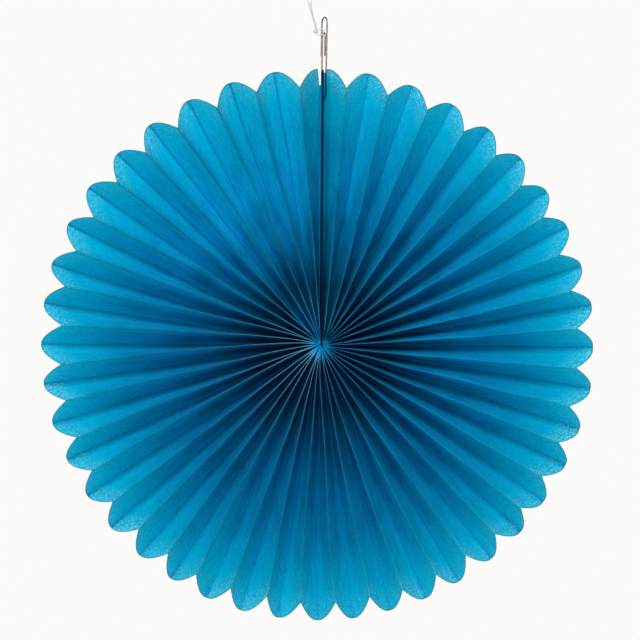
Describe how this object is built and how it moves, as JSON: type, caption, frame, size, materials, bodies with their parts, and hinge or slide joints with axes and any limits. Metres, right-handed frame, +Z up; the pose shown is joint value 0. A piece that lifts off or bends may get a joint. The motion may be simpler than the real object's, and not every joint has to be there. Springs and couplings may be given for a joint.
{
  "type": "paper fan rosette",
  "caption": "Round hanging fan of pleated tissue with scalloped petals, two end cards at the top seam, a wire paper clip through them and a looped string.",
  "frame": {"origin": "where the string's loop bears on the hook that it hangs on, at the top", "axes": "+Z up; the fan's face looks along -Y; +X to the viewer's right"},
  "size_m": [0.3346, 0.03, 0.3897],
  "materials": {
    "blue_tissue": "matt dyed tissue",
    "end_card": "matt dyed card",
    "clip_wire": "drawn wire, nickel plated",
    "tie_thread": "wound cotton thread with glue",
    "clear_string": "soft translucent nylon"
  },
  "bodies": {
    "root": {"pleated_rosette": "blue_tissue", "left_end_card": "end_card", "right_end_card": "end_card", "paper_clip": "clip_wire", "hub_tie": "tie_thread", "hanging_string": "clear_string", "string_knot": "clear_string"}
  },
  "joints": []
}
